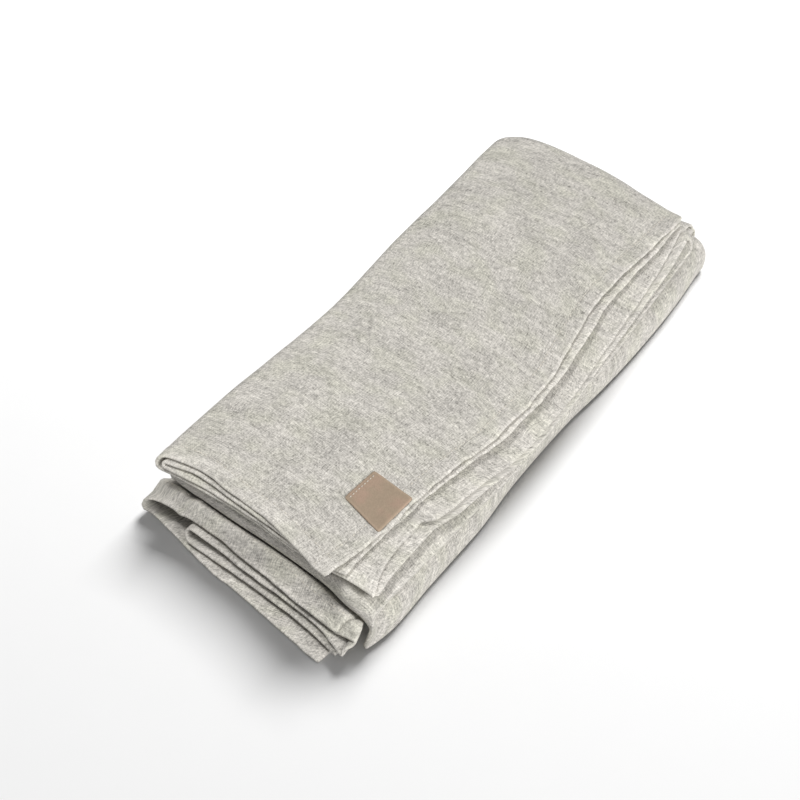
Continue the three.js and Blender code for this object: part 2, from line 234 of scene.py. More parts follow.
# Uneven forms of the cloth, as size, length of one wave (across and along where there are
# two) and seed: how the layers lie on each other off the floor, the hems' and open ends'
# waves, the top sheet's streaks and dimples, and the puckers of the hems and open ends. A
# reach is how far in from the edge the form goes. The second hem's puckers are shifted.
OFF_FLOOR = (2, 12)
LAYER_WAVES = [(0.45, 38, 60, 1), (0.2, 15, 22, 2)]
HEM_WAVES = [(0.8, 16, 3), (0.35, 6, 4)]
HEM_WAVES_REACH = 10
END_WAVES = [(0.9, 22, 5), (0.4, 7, 6)]
END_WAVES_REACH = 9
STREAKS = (0.22, 42, 4.5, 7)
STREAKS_LEAN = 0.15
DIMPLES = (0.16, 9, 7, 8)
PUCKER = dict(apart=9.8, high=0.42, reach=9.5, mean=0.65, second_hem=2.4)
PUCKER_DRIFT = [(1.8, 26, 9)]
PUCKER_FINE = [(0.6, 3.6, 10)]
PUCKER_UNEVEN = [(0.6, 17, 13)]
END_PUCKERS = [(0.3, 8.0, 11)]
END_PUCKERS_REACH = 6

# Paler crests, partly wear and partly a painted highlight where folds catch the light: how
# sharply the cloth bends where this paleness starts to show and where it is full, and the
# least size of lattice that this is measured over.
CREST_FROM = 0.1
CREST_TO = 0.45
LEAST_SPAN = 0.05

# The rim stands out from the cloth's edge by a share of its thickness.
RIM_SHARE = 0.42

# How finely the cloth is laid out: steps across one run, fold, arm and turn. The run's last
# unit at the right and the arm's first unit at the near end are closer.
UNIT = 16
RUN = 5 * UNIT
FOLD = 12
RIGHT_FOLD = 24
ARM = 13 * UNIT
TURN = 16
LAST_ARM_FROM = 3 * (ARM + TURN)
EDGE_UNIT_SHARE = 0.127
END_UNIT_SHARE = 0.05
BANDS = ["hem_one", "left_fold", "run_four", "right_fold", "run_three", "inner_fold", "hem_two"]


def look_up(table, place, column, at):
    """Smooth value of one column of a table, between the rows around each place."""
    x = np.array(table[place], float)
    v = np.array(table[column], float)
    last = len(x) - 1
    here = np.clip(at, x[0], x[-1])
    row = np.clip(np.searchsorted(x, here, side="right") - 1, 0, last - 1)
    before = np.maximum(np.arange(last + 1) - 1, 0)
    after = np.minimum(np.arange(last + 1) + 1, last)
    slope = (v[after] - v[before]) / (x[after] - x[before])
    gap = x[row + 1] - x[row]
    t = (here - x[row]) / gap
    rise = (v[row + 1] - v[row]) * t * t * (3 - 2 * t)
    start_pull = t * (1 - t) ** 2 * gap * slope[row]
    end_pull = t * t * (t - 1) * gap * slope[row + 1]
    return v[row] + rise + start_pull + end_pull


def ease(start, end, value):
    """From 0 at the start to 1 at the end, smoothly."""
    t = np.clip((value - start) / (end - start), 0, 1)
    return t * t * (3 - 2 * t)


def noise(a, b, step_a, step_b, seed):
    """Smooth seeded noise from -1 to 1 over two coordinates."""
    grid = np.random.default_rng(SEED + seed).uniform(-1, 1, (64, 64))
    a = np.asarray(a, float) / step_a + 1000.37
    b = np.asarray(b, float) / step_b + 1000.71
    i = np.floor(a).astype(int)
    j = np.floor(b).astype(int)
    s = ease(0, 1, a - i)
    t = ease(0, 1, b - j)
    low = grid[i % 64, j % 64] * (1 - s) + grid[(i + 1) % 64, j % 64] * s
    high = grid[i % 64, (j + 1) % 64] * (1 - s) + grid[(i + 1) % 64, (j + 1) % 64] * s
    return low * (1 - t) + high * t


def waves(line, table):
    """The sum of a table's waves along one line."""
    return sum(size * noise(line, 0 * line, length, 1, seed) for size, length, seed in table)


def bell(value, middle, half):
    """From 1 at the middle down to nearly 0 at twice the half width away."""
    return np.exp(-((value - middle) / half) ** 2)


def layer_height(arm, depth, x):
    """Height of a layer, or of a place between two; depth 0 is layer one, 3 layer four."""
    height = arm["z1"] + (arm["z4"] - arm["z1"]) * depth / 3 + 0 * x
    if arm["name"] == "bottom":
        up = GAPE["three_up"] * np.maximum(1 - np.abs(depth - 2), 0)
        down = GAPE["two_down"] * np.maximum(1 - np.abs(depth - 1), 0)
        return height + ease(*GAPE["x"], x) * (up - down)
    sink = SINK.get(arm["name"])
    if sink is None:
        return height
    reach = ease(sink["start"], sink["end"], x)
    if arm["name"] == "upper":
        return height - sink["four"] * reach
    three = sink["three"] * ease(1, 2, depth)
    four = (sink["four"] - sink["three"]) * np.clip(depth - 2, 0, 1)
    return height - (three + four) * reach


def bend_line(y):
    return look_up(RIGHT_EDGES, "y", "wrap", y) - WRAP_RADIUS


def right_ends(arm_index, y):
    """Where an arm's four layers end at the right, before the wrap is bent down."""

    def edge(column):
        return look_up(RIGHT_EDGES, "y", column, y)

    line = bend_line(y)
    if arm_index == 0:
        return [edge("hem_one"), edge("hem_two"), edge("fold_three"), edge("fold_four")]
    if arm_index == 1:
        fold = edge("fold_under")
        return [UPPER_HEMS[0] + 0 * fold, UPPER_HEMS[1] + 0 * fold, fold - UPPER_SHORT, fold]
    if arm_index == 2:
        outer = line + WRAP_RADIUS * math.pi / 2 + WRAP_HANG
        inner = line + WRAP_INNER_RADIUS * math.pi / 2 + WRAP_HANG
        return [line - LOWER_SHORT[0], line - LOWER_SHORT[1], outer, inner]
    hem = look_up(BOTTOM_EDGES, "y", "hem", y)
    fold = look_up(BOTTOM_EDGES, "y", "fold", y)
    return [hem, fold - BOTTOM_SHORT[0], fold - BOTTOM_SHORT[1], fold]


def run_shares():
    """Shares across a run from left to right, closer together at the right edge."""
    inner = np.linspace(0, 1 - EDGE_UNIT_SHARE, RUN - UNIT + 1)
    edge = np.linspace(1 - EDGE_UNIT_SHARE, 1, UNIT + 1)
    return np.concatenate([inner, edge[1:]])


def arm_shares():
    """Shares along an arm from near to far, closer together at the near end."""
    end = np.linspace(0, END_UNIT_SHARE, UNIT + 1)
    rest = np.linspace(END_UNIT_SHARE, 1, ARM - UNIT + 1)
    return np.concatenate([end, rest[1:]])


def section(arm_index, y):
    """Across, up and depth of the four-layer section of an arm, a row for each y."""
    arm = ARMS[arm_index]
    y = np.asarray(y, float)[:, None]
    right = right_ends(arm_index, y)
    shares = run_shares()[None, :]
    xs, zs, depths = [], [], []

    def height(depth, x):
        return layer_height(arm, depth, x)

    def run(left, end, depth, leftwards):
        x = left + (end - left) * shares
        x = x[:, ::-1] if leftwards else x
        xs.append(x)
        zs.append(height(depth, x))
        depths.append(np.full(x.shape[1], float(depth)))

    def fold(side, start, end, start_x, end_x, steps, notch=0):
        angle = np.pi * np.arange(1, steps)[None, :] / steps
        done = (1 - np.cos(angle)) / 2
        start_z = height(start, start_x)
        end_z = height(end, end_x)
        bulge = np.abs(start_z - end_z) / 2
        x = start_x + (end_x - start_x) * done + side * bulge * np.sin(angle)
        x = x - notch * bell(done, NOTCH_AT, NOTCH_WIDE)
        x = np.broadcast_to(x, (len(y), steps - 1))
        xs.append(x)
        zs.append(np.broadcast_to(start_z + (end_z - start_z) * done, x.shape))
        depths.append((start + (end - start) * done)[0])

    flat = 0 * y
    inner = arm["left"] + arm["inset"]
    outer_left = arm["left"] + np.abs(height(0, flat + inner) - height(3, flat + inner)) / 2
    inner_left = inner + np.abs(height(1, flat + inner) - height(2, flat + inner)) / 2
    bulge_right = np.abs(height(3, right[3]) - height(2, right[2])) / 2
    notch = {0: top_notch(y), 3: bottom_notch(y)}.get(arm_index, 0)
    run(outer_left, right[0], 0, True)
    fold(-1, 0, 3, outer_left, outer_left, FOLD)
    run(outer_left, right[3] - bulge_right, 3, False)
    fold(1, 3, 2, right[3] - bulge_right, right[2] - bulge_right, RIGHT_FOLD, notch)
    run(inner_left, right[2] - bulge_right, 2, True)
    fold(-1, 2, 1, inner_left, inner_left, FOLD)
    run(inner_left, right[1], 1, False)
    return np.concatenate(xs, 1), np.concatenate(zs, 1), np.concatenate(depths)


def top_notch(y):
    """How deep the top arm's outer fold is pressed in between its two creases."""
    deepest = TOP_NOTCH["deepest"] * bell(y, TOP_NOTCH["y"], TOP_NOTCH["half"])
    return TOP_NOTCH["deep"] + waves(y, TOP_NOTCH["waves"]) + deepest


def bottom_notch(y):
    return BOTTOM_NOTCH["deep"] + BOTTOM_NOTCH["more"] * ease(*BOTTOM_NOTCH["y"], y)


def near_end(arm_index, x, depth):
    """Where a layer ends near the camera: depth 0 is layer one and depth 3 is layer four."""
    if arm_index in (1, 2):
        return look_up(ARM_ENDS, "x", "near_turn", x)
    table, columns = ARM_ENDS, ["top_one", "top_two", "top_under", "top_under"]
    if arm_index == 3:
        table, columns = BOTTOM_ENDS, ["one", "two", "three", "four"]
    one, two, three, four = [look_up(table, "x", column, x) for column in columns]
    end = one + (two - one) * np.clip(depth, 0, 1)
    end = end + (three - two) * np.clip(depth - 1, 0, 1)
    if arm_index == 0:
        four = four + DRAWN_IN["by"] * ease(*DRAWN_IN["x"], x)
    return end + (four - three) * ease(*STEP_IN_FOLD, depth)


def far_end(arm_index, x):
    return look_up(ARM_ENDS, "x", "far_top" if arm_index < 2 else "far_low", x)


def flat_lattice():
    """The folded cloth before it is bent and settled: x, y, z, and the depth in its pack."""
    rows = []
    for index in range(len(ARMS)):
        near = STARTS_NEAR[index]
        along = arm_shares() if near else arm_shares()[::-1]
        x, z, depth = section(index, NEAR_STATION + (FAR_STATION - NEAR_STATION) * along)
        start = near_end(index, x, depth)
        y = start + (far_end(index, x) - start) * along[:, None]
        rows.append(np.stack([x, y, z], -1))
        if index == len(ARMS) - 1:
            break
        station = [FAR_STATION if near else NEAR_STATION]
        x0, z0, depth = section(index, station)
        x1, z1, depth = section(index + 1, station)
        y0 = far_end(index, x0) if near else near_end(index, x0, depth)
        y1 = far_end(index + 1, x1) if near else near_end(index + 1, x1, depth)
        angle = np.pi * np.arange(1, TURN)[:, None] / TURN
        done = (1 - np.cos(angle)) / 2
        outward = 1 if near else -1
        bulge = outward * np.abs(z0 - z1) / 2 * np.sin(angle)
        y = y0 + (y1 - y0) * done + bulge
        rows.append(np.stack([x0 + (x1 - x0) * done, y, z0 + (z1 - z0) * done], -1))
    return np.concatenate(rows), depth


def arc_lengths(points, axis):
    """Distance over the cloth from its first line, along one way of the lattice."""
    step = np.linalg.norm(np.diff(points, axis=axis), axis=-1)
    zero = np.zeros_like(np.take(step, [0], axis=axis))
    return np.concatenate([zero, np.cumsum(step, axis=axis)], axis=axis)


def bend_down(p):
    """Bends the right side down into the wrap, whose near end trails out on the floor."""
    x, y, z = p[..., 0], p[..., 1], p[..., 2]
    line = bend_line(y)
    radius = z - BEND_HEIGHT
    bent = (x > line) & (radius > 0)
    safe = np.where(bent, radius, 1.0)
    angle = np.clip((x - line) / safe, 0, np.pi / 2)
    hang = np.maximum(x - line - safe * np.pi / 2, 0)
    new_x = np.where(bent, line + safe * np.sin(angle), x)
    new_z = np.where(bent, BEND_HEIGHT + safe * np.cos(angle) - hang, z)
    trail = ease(*TRAIL["x"], new_x) * ease(*TRAIL["y"], y) * ease(*TRAIL["z"], new_z)
    return np.stack([new_x, y - TRAIL["by"] * trail, new_z], -1)


def crease_depth(creases, x, y):
    """How deep the listed creases press in at each place."""
    depth = np.zeros_like(x)
    for middle_x, middle_y, turn, long, wide, deep in creases:
        c = math.cos(turn)
        s = math.sin(turn)
        along = ((x - middle_x) * c + (y - middle_y) * s) / long
        across = ((y - middle_y) * c - (x - middle_x) * s) / wide
        depth = depth + deep * np.exp(-along * along - across * across)
    return depth


def settle(p):
    """The waist, and the broad creases that fade out towards the floor."""
    x, y, z = p[..., 0], p[..., 1], p[..., 2]
    above = (z - HALF_SOLID) / HEIGHT
    squeezed = HALF_SOLID + (z - HALF_SOLID) * look_up(WAIST, "y", "height", y)
    z = squeezed - crease_depth(BROAD_CREASES, x, y) * np.maximum(above, 0)
    x = x + look_up(WAIST, "y", "left", y) * ease(*WAIST_X, x)
    return np.stack([x, y, z], -1)


def normals(points):
    """The way out from the cloth's outer side at each point."""
    along = np.gradient(points, axis=0)
    across = np.gradient(points, axis=1)
    out = np.cross(across, along)
    return out / np.maximum(np.linalg.norm(out, axis=-1, keepdims=True), 1e-9)


def curvature(points, out, axis):
    """How sharply the cloth bends away from its outer side along one way of the lattice."""
    line = np.moveaxis(points, axis, 0)
    away = np.moveaxis(out, axis, 0)
    before = line[1:-1] - line[:-2]
    after = line[2:] - line[1:-1]
    span = np.linalg.norm(before, axis=-1) * np.linalg.norm(after, axis=-1)
    bend = np.zeros(line.shape[:2])
    bend[1:-1] = ((before - after) * away[1:-1]).sum(-1) / np.maximum(span, LEAST_SPAN)
    return np.moveaxis(bend, 0, axis)


def distances(flat):
    """How far each point is from the cloth's edges, measured over the cloth."""
    far = dict(across=arc_lengths(flat, 1), along=arc_lengths(flat, 0))
    far["to_second"] = far["across"][:, -1:] - far["across"]
    far["to_bottom_end"] = far["along"][-1:, :] - far["along"]
    far["to_side"] = np.minimum(far["across"], far["to_second"])
    far["to_end"] = np.minimum(far["along"], far["to_bottom_end"])
    far["to_edge"] = np.minimum(far["to_side"], far["to_end"])
    return far


def loosen(flat, depth, far, off_floor):
    """The bundle with uneven layers, wavy edges, and its loose parts lifted and flared."""
    x, y, z = flat[..., 0], flat[..., 1], flat[..., 2]
    row = np.arange(len(z))[:, None]
    for size, length_across, length_along, seed in LAYER_WAVES:
        uneven = noise(far["across"], far["along"], length_across, length_along, seed)
        z = z + off_floor * size * uneven

    x = x + waves(far["along"], HEM_WAVES) * np.exp(-far["to_side"] / HEM_WAVES_REACH)
    y = y + waves(far["across"], END_WAVES) * np.exp(-far["to_end"] / END_WAVES_REACH)
    z = z - DROOP["by"] * ease(*DROOP["along"], far["along"])

    # the bottom arm's top layer: its hump, and the creases over it
    in_front = look_up(ARM_ENDS, "x", "near_turn", x) - HUMP["in_front"]
    high = HUMP["high"] - HUMP["lower"] * ease(*HUMP["x"], x)
    top_layer = (row > LAST_ARM_FROM) * ease(*HUMP["depths"], depth)[None, :]
    z = z + top_layer * high * bell(y, in_front, HUMP["half"])
    z = z - top_layer * crease_depth(BOTTOM_CREASES, x, y)

    # the outer fold's upper crease curls up where it leaves the lower one
    crease = ease(*CURL["below"], depth) * ease(*CURL["above"], depth) * (row < ARM)
    z = z + CURL["high"] * crease * bell(y, CURL["y"], CURL["half"]) * ease(*CURL["x"], x)

    flare = ease(*FLARE["along"], far["to_bottom_end"]) * ease(*FLARE["x"], x)
    return np.stack([x - FLARE["by"] * flare, y, z], -1)


def top_sheet_relief(points, depth):
    """How deep the top sheet's own wrinkles, streaks and dimples are."""
    x, y, z = points[..., 0], points[..., 1], points[..., 2]
    size, *streak = STREAKS
    relief = size * noise(x, y + STREAKS_LEAN * x, *streak)
    size, *dimple = DIMPLES
    relief = relief + size * noise(x, y, *dimple) + WRINKLE_SHARE * crease_depth(WRINKLES, x, y)
    return relief * ease(1, 0, depth)[None, :] * ease(*TOP_SHEET, z)


def pucker_height(far):
    """Puckers across the hems and open ends, deepest at the very edge."""
    along = far["along"]
    drift = waves(along, PUCKER_DRIFT) + PUCKER["second_hem"] * (far["to_second"] < far["across"])
    ripple = np.sin(along * 2 * np.pi / PUCKER["apart"] + drift) + waves(along, PUCKER_FINE)
    strength = PUCKER["high"] * (PUCKER["mean"] + waves(along, PUCKER_UNEVEN))
    at_hem = strength * ripple * np.exp(-((far["to_side"] / PUCKER["reach"]) ** 4))
    at_end = waves(far["across"], END_PUCKERS) * np.exp(-far["to_end"] / END_PUCKERS_REACH)
    return at_hem + at_end


def make_cloth_surface():
    """Middle, outward direction and thickness of the cloth over its whole lattice."""
    flat, depth = flat_lattice()
    far = distances(flat)
    off_floor = ease(*OFF_FLOOR, flat[..., 2])
    loose = loosen(flat, depth, far, off_floor)
    bottom_arm = np.arange(len(flat))[:, None, None] > LAST_ARM_FROM
    points = settle(np.where(bottom_arm, loose, bend_down(loose)))
    points[..., 2] -= top_sheet_relief(points, depth)
    points = points + normals(points) * (pucker_height(far) * off_floor)[..., None]

    hem = ease(HEM_WIDTH, HEM_WIDTH - HEM_STEP, far["to_edge"])
    seam = bell(far["to_edge"], STITCH_IN, SEAM_WIDE)
    thickness = CLOTH + (HEM - CLOTH) * hem - SEAM_DEEP * seam
    out = normals(points)
    far["bend"] = curvature(points, out, 0) + curvature(points, out, 1)
    return points, out, thickness, far


def block_steps(arm, turning, near, band, edge):
    """Rows and columns of the lattice that one cell spans there: 1 where it shows."""
    if turning:
        shown = {
            (0, "hem_one"): (1, 2),
            (0, "left_fold"): (1, 1),
            (0, "hem_two"): (1, 2),
            (0, "right_fold"): (2, 4),
            (1, "run_four"): (1, 2),
            (1, "left_fold"): (1, 1),
            (1, "right_fold"): (1, 2),
            (1, "run_three"): (2, 4),
            (2, "hem_one"): (1, 2),
            (2, "left_fold"): (1, 1),
            (2, "right_fold"): (1, 2),
        }
        if arm == 2 and band == "run_three" and edge:
            return (1, 1)
        return shown.get((arm, band), (4, 4))
    if arm == 0 and band in ("hem_one", "right_fold"):
        return (1, 1)
    if near and arm == 3 and band == "run_four" and edge:
        return (1, 1)
    if near and arm in (0, 3):
        return (1, 2) if band in ("run_four", "run_three", "right_fold") else (2, 2)
    if band == "left_fold":
        return (2, 1)
    if band == "inner_fold":
        return (8, 4)
    shown = {
        (0, "hem_two"): (1, 2),
        (0, "run_three"): (1, 2),
        (1, "run_four"): (2, 2),
        (1, "right_fold"): (2, 2),
        (2, "run_three"): (2, 1),
        (2, "run_four"): (8, 2),
    }
    if band == "right_fold":
        return shown.get((arm, band), (4, 4))
    if edge:
        return shown.get((arm, band), (8, 4))
    if arm == 0 and band == "run_three":
        return (4, 4)
    return (8, 8)


def lattice_cells():
    """Cells of the lattice as row and column limits, larger where the cloth is hidden."""
    row_blocks = []
    row = 0
    for arm in range(len(ARMS)):
        near_unit = 0 if STARTS_NEAR[arm] else ARM // UNIT - 1
        for unit in range(ARM // UNIT):
            near = unit == near_unit
            row_blocks.append((row, UNIT, arm, False, near))
            row += UNIT
        if arm < len(ARMS) - 1:
            row_blocks.append((row, TURN, arm, True, False))
            row += TURN
    column_blocks = []
    column = 0
    for band in BANDS:
        if band.endswith("fold"):
            steps = RIGHT_FOLD if band == "right_fold" else FOLD
            column_blocks.append((column, steps, band, False))
            column += steps
            continue
        leftwards = band in ("hem_one", "run_three")
        for unit in range(RUN // UNIT):
            from_edge = unit if leftwards else RUN // UNIT - 1 - unit
            column_blocks.append((column, UNIT, band, from_edge == 0))
            column += UNIT
    cells = []
    for r0, rows, arm, turning, near in row_blocks:
        for c0, columns, band, edge in column_blocks:
            dr, dc = block_steps(arm, turning, near, band, edge)
            for r in range(r0, r0 + rows, dr):
                for c in range(c0, c0 + columns, dc):
                    cells.append((r, r + dr, c, c + dc))
    return cells, row + 1, column + 1


def cloth_mesh(points, out, thickness, far):
    """A closed sheet over the lattice, with rounded rims."""
    cells, rows, columns = lattice_cells()
    used = np.zeros((rows, columns), bool)
    for r0, r1, c0, c1 in cells:
        used[r0, c0] = used[r0, c1] = used[r1, c0] = used[r1, c1] = True
    number = np.full((rows, columns), -1)
    number[used] = np.arange(used.sum())
    count = int(used.sum())
    half = (out * thickness[..., None] / 2)[used]
    middle = points[used]
    upper = middle + half
    lower = middle - half
    faces = []
    for r0, r1, c0, c1 in cells:
        ring = [number[r0, c] for c in range(c0, c1) if used[r0, c]]
        ring += [number[r, c1] for r in range(r0, r1) if used[r, c1]]
        ring += [number[r1, c] for c in range(c1, c0, -1) if used[r1, c]]
        ring += [number[r, c0] for r in range(r1, r0, -1) if used[r, c0]]
        faces.append(ring)
        faces.append([i + count for i in reversed(ring)])

    # the rims: a rounded edge all the way round the cloth
    border = [(0, c) for c in range(columns)]
    border += [(r, columns - 1) for r in range(1, rows)]
    border += [(rows - 1, c) for c in range(columns - 2, -1, -1)]
    border += [(r, 0) for r in range(rows - 2, 0, -1)]
    border = [rc for rc in border if used[rc]]
    middle_of = {}
    rim = []
    for r, c in border:
        inward_r = 1 if r == 0 else -1 if r == rows - 1 else 0
        inward_c = 1 if c == 0 else -1 if c == columns - 1 else 0
        away = points[r, c] - points[r + inward_r, c + inward_c]
        away = away / np.linalg.norm(away)
        middle_of[(r, c)] = 2 * count + len(rim)
        rim.append(points[r, c] + away * thickness[r, c] * RIM_SHARE)
    for here, after in zip(border, border[1:] + border[:1]):
        a, b = number[here], number[after]
        m, n = middle_of[here], middle_of[after]
        faces.append([b, a, m, n])
        faces.append([n, m, a + count, b + count])

    def per_vertex(values):
        inside = values[used]
        edge = np.array([values[rc] for rc in border])
        return np.concatenate([inside, inside, edge])

    def crest_of(bend):
        return np.clip((bend[used] - CREST_FROM) / (CREST_TO - CREST_FROM), 0, 1)

    vertices = np.concatenate([upper, lower, np.array(rim)])
    vertices[:, 2] = np.maximum(vertices[:, 2], 0)
    attributes = {name: per_vertex(far[name]) * MM for name in ("across", "along", "to_edge")}
    # the rim counts as a full crest, so the material makes it paler: partly wear, partly painted
    # highlight
    crests = [crest_of(far["bend"]), crest_of(-far["bend"]), np.ones(len(rim))]
    attributes["crest"] = np.concatenate(crests)
    return vertices, faces, attributes


def add_object(name, data):
    thing = bpy.data.objects.new(name, data)
    bpy.context.scene.collection.objects.link(thing)
    return thing


def direction(turn, rise):
    """The way from the part at a turn about z from +x and a rise, in degrees."""
    turn, rise = math.radians(turn), math.radians(rise)
    flat = math.cos(rise)
    return Vector((flat * math.cos(turn), flat * math.sin(turn), math.sin(rise)))


def aim_along(thing, away):
    """Points a camera or lamp back along a direction."""
    thing.rotation_mode = "QUATERNION"
    thing.rotation_quaternion = (-away).to_track_quat("-Z", "Y")


def add_mesh(name, vertices, faces, attributes=None):
    """A smooth-shaded object from points in millimetres."""
    mesh = bpy.data.meshes.new(name)
    centred = np.array(vertices, float) - [CENTRE_X, CENTRE_Y, 0]
    mesh.from_pydata((centred * MM).tolist(), [], faces)
    mesh.validate()
    mesh.shade_smooth()
    for key, values in (attributes or {}).items():
        layer = mesh.attributes.new(key, "FLOAT", "POINT")
        layer.data.foreach_set("value", np.asarray(values, np.float32))
    return add_object(name, mesh)


def calc(tree, operation, first, second=0.0):
    """One arithmetic node; each side is a socket or a number."""
    made = tree.nodes.new("ShaderNodeMath")
    made.operation = operation
    for socket, value in zip(made.inputs, (first, second)):
        if isinstance(value, (int, float)):
            socket.default_value = value
        else:
            tree.links.new(value, socket)
    return made.outputs[0]


def fade(tree, value, start, end):
    """Smooth step of a socket's value, from 0 at start to 1 at end."""
    made = tree.nodes.new("ShaderNodeMapRange")
    made.interpolation_type = "SMOOTHSTEP"
    made.inputs["From Min"].default_value = start
    made.inputs["From Max"].default_value = end
    tree.links.new(value, made.inputs["Value"])
    return made.outputs["Result"]


def attribute(tree, name):
    """The value that each point of the mesh carries under this name."""
    made = tree.nodes.new("ShaderNodeAttribute")
    made.attribute_name = name
    return made.outputs["Fac"]


def grain(tree, vector, size_x, size_y, detail=1.0, turn=0.0):
    """Noise about 0 over a piece; one grain is size_x by size_y millimetres."""
    place = tree.nodes.new("ShaderNodeMapping")
    place.vector_type = "TEXTURE"
    place.inputs["Scale"].default_value = (size_x * MM, size_y * MM, size_y * MM)
    place.inputs["Rotation"].default_value = (0, 0, turn)
    tree.links.new(vector, place.inputs["Vector"])
    made = tree.nodes.new("ShaderNodeTexNoise")
    made.inputs["Scale"].default_value = 1.0
    made.inputs["Detail"].default_value = detail
    tree.links.new(place.outputs["Vector"], made.inputs["Vector"])
    return calc(tree, "SUBTRACT", made.outputs["Fac"], 0.5)


def total(tree, parts):
    """The sum of several sockets, each times its own number."""
    result = None
    for socket, share in parts:
        scaled = calc(tree, "MULTIPLY", socket, share)
        result = scaled if result is None else calc(tree, "ADD", result, scaled)
    return result


def two_colours(tree, first, second, share):
    made = tree.nodes.new("ShaderNodeMixRGB")
    made.inputs["Color1"].default_value = (*first, 1)
    made.inputs["Color2"].default_value = (*second, 1)
    tree.links.new(share, made.inputs["Fac"])
    return made.outputs["Color"]


def finish(tree, colour, brightness, height, depth, roughness, sheen):
    """Joins colour, brightness and relief to the material's shader."""
    shader = tree.nodes["Principled BSDF"]
    bright = tree.nodes.new("ShaderNodeVectorMath")
    bright.operation = "SCALE"
    tree.links.new(colour, bright.inputs[0])
    tree.links.new(brightness, bright.inputs["Scale"])
    tree.links.new(bright.outputs[0], shader.inputs["Base Color"])
    bump = tree.nodes.new("ShaderNodeBump")
    bump.inputs["Strength"].default_value = BUMP_STRENGTH
    bump.inputs["Distance"].default_value = depth * MM
    tree.links.new(height, bump.inputs["Height"])
    tree.links.new(bump.outputs["Normal"], shader.inputs["Normal"])
    shader.inputs["Roughness"].default_value = roughness
    shader.inputs["Sheen Weight"].default_value = sheen
    shader.inputs["Specular IOR Level"].default_value = SPECULAR


def new_material(name):
    material = bpy.data.materials.new(name)
    material.use_nodes = True
    return material, material.node_tree


# Colours, as linear light: the linen, its greener patches, the label, its pinker part, the
# sewing thread and the floor.
LINEN = (0.49, 0.468, 0.43)
LINEN_GREEN = (0.478, 0.463, 0.405)
LABEL = (0.315, 0.242, 0.174)
LABEL_PINK = (0.34, 0.24, 0.178)
THREAD = (0.66, 0.62, 0.54)
FLOOR = (0.88, 0.88, 0.88)
BUMP_STRENGTH = 0.5
SPECULAR = 0.25

# The linen in millimetres: the size of one grain across and along, how far apart the threads
# of the plain weave are, where the paler rim starts and ends (partly pale frayed thread, partly
# a painted highlight), and where the painted light on the front hem, as if it faced the lamp,
# starts and ends.
GRAINS = dict(
    warp=dict(size_x=0.85, size_y=4.5),
    weft=dict(size_x=5.5, size_y=0.85),
    speckle=dict(size_x=1.3, size_y=1.3, detail=2.0),
    blotch=dict(size_x=5, size_y=3.5, detail=2.0),
    streak=dict(size_x=40, size_y=5, detail=2.0, turn=-0.15),
    patch=dict(size_x=30, size_y=24),
    slub_warp=dict(size_x=0.8, size_y=16),
    slub_weft=dict(size_x=16, size_y=0.8),
    green=dict(size_x=26, size_y=20, detail=2.0),
)
THREADS_APART = 1.5
EDGE_FADE = (1.6, 0.4)
FRONT_HEM_LIGHT_FADE = (11, 8.5)
SLUB_FADE = (0.17, 0.24)
GREEN_FADE = (-0.1, 0.2)


def linen_material():
    """Plain weave with slubs both ways, mottled; paler rims and crests (wear and painted
    highlight), and painted light on the front hem.
    """
    material, tree = new_material("linen")
    across = attribute(tree, "across")
    along = attribute(tree, "along")
    place = tree.nodes.new("ShaderNodeCombineXYZ")
    tree.links.new(across, place.inputs["X"])
    tree.links.new(along, place.inputs["Y"])
    vector = place.outputs["Vector"]

    parts = {name: grain(tree, vector, **sizes) for name, sizes in GRAINS.items()}
    round_trip = 2 * math.pi / (THREADS_APART * MM)
    over_warp = calc(tree, "SINE", calc(tree, "MULTIPLY", across, round_trip))
    over_weft = calc(tree, "SINE", calc(tree, "MULTIPLY", along, round_trip))
    weave = calc(tree, "MULTIPLY", over_warp, over_weft)
    edge = fade(tree, attribute(tree, "to_edge"), EDGE_FADE[0] * MM, EDGE_FADE[1] * MM)
    front_hem_light = fade(tree, along, FRONT_HEM_LIGHT_FADE[0] * MM, FRONT_HEM_LIGHT_FADE[1] * MM)

    # how much each part lightens or darkens the cloth
    brightness = total(tree, [
        (parts["warp"], 0.95),
        (parts["weft"], 0.95),
        (parts["speckle"], 1.2),
        (parts["blotch"], 0.6),
        (parts["streak"], 0.55),
        (parts["patch"], 0.3),
        (weave, 0.09),
        (fade(tree, parts["slub_warp"], *SLUB_FADE), 0.28),
        (fade(tree, parts["slub_weft"], *SLUB_FADE), 0.28),
        # the rim is paler, partly from frayed pale thread and partly as a painted highlight
        (edge, 0.13),
        # crests are paler, partly from wear and partly as a painted highlight
        (attribute(tree, "crest"), 0.11),
        # painted light: the front hem is lightened as if it faced the lamp
        (front_hem_light, 0.1),
    ])
    brightness = calc(tree, "ADD", brightness, 1.0)
    threads = [(parts["warp"], 1.0), (parts["weft"], 1.0), (parts["speckle"], 0.8), (weave, 0.2)]
    colour = two_colours(tree, LINEN, LINEN_GREEN, fade(tree, parts["green"], *GREEN_FADE))
    finish(tree, colour, brightness, total(tree, threads), depth=0.5, roughness=0.92, sheen=0.15)
    return material


def plain_material(name, first, second, size, contrast, roughness, depth):
    """A mottled, faintly rough material over a piece's own coordinates."""
    material, tree = new_material(name)
    place = tree.nodes.new("ShaderNodeTexCoord").outputs["Object"]
    mottle = grain(tree, place, size, size, detail=3.0)
    fine = grain(tree, place, size / 8, size / 8, detail=2.0)
    brightness = calc(tree, "ADD", total(tree, [(mottle, contrast), (fine, contrast)]), 1.0)
    colour = two_colours(tree, first, second, fade(tree, mottle, -0.15, 0.2))
    finish(tree, colour, brightness, fine, depth, roughness, sheen=0.0)
    return material


# the cloth
surface = make_cloth_surface()
cloth_points, cloth_faces, cloth_values = cloth_mesh(*surface)
cloth = add_mesh("linen_cloth", cloth_points, cloth_faces, cloth_values)
cloth.data.materials.append(linen_material())
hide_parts("cloth")
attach(cloth, "root")

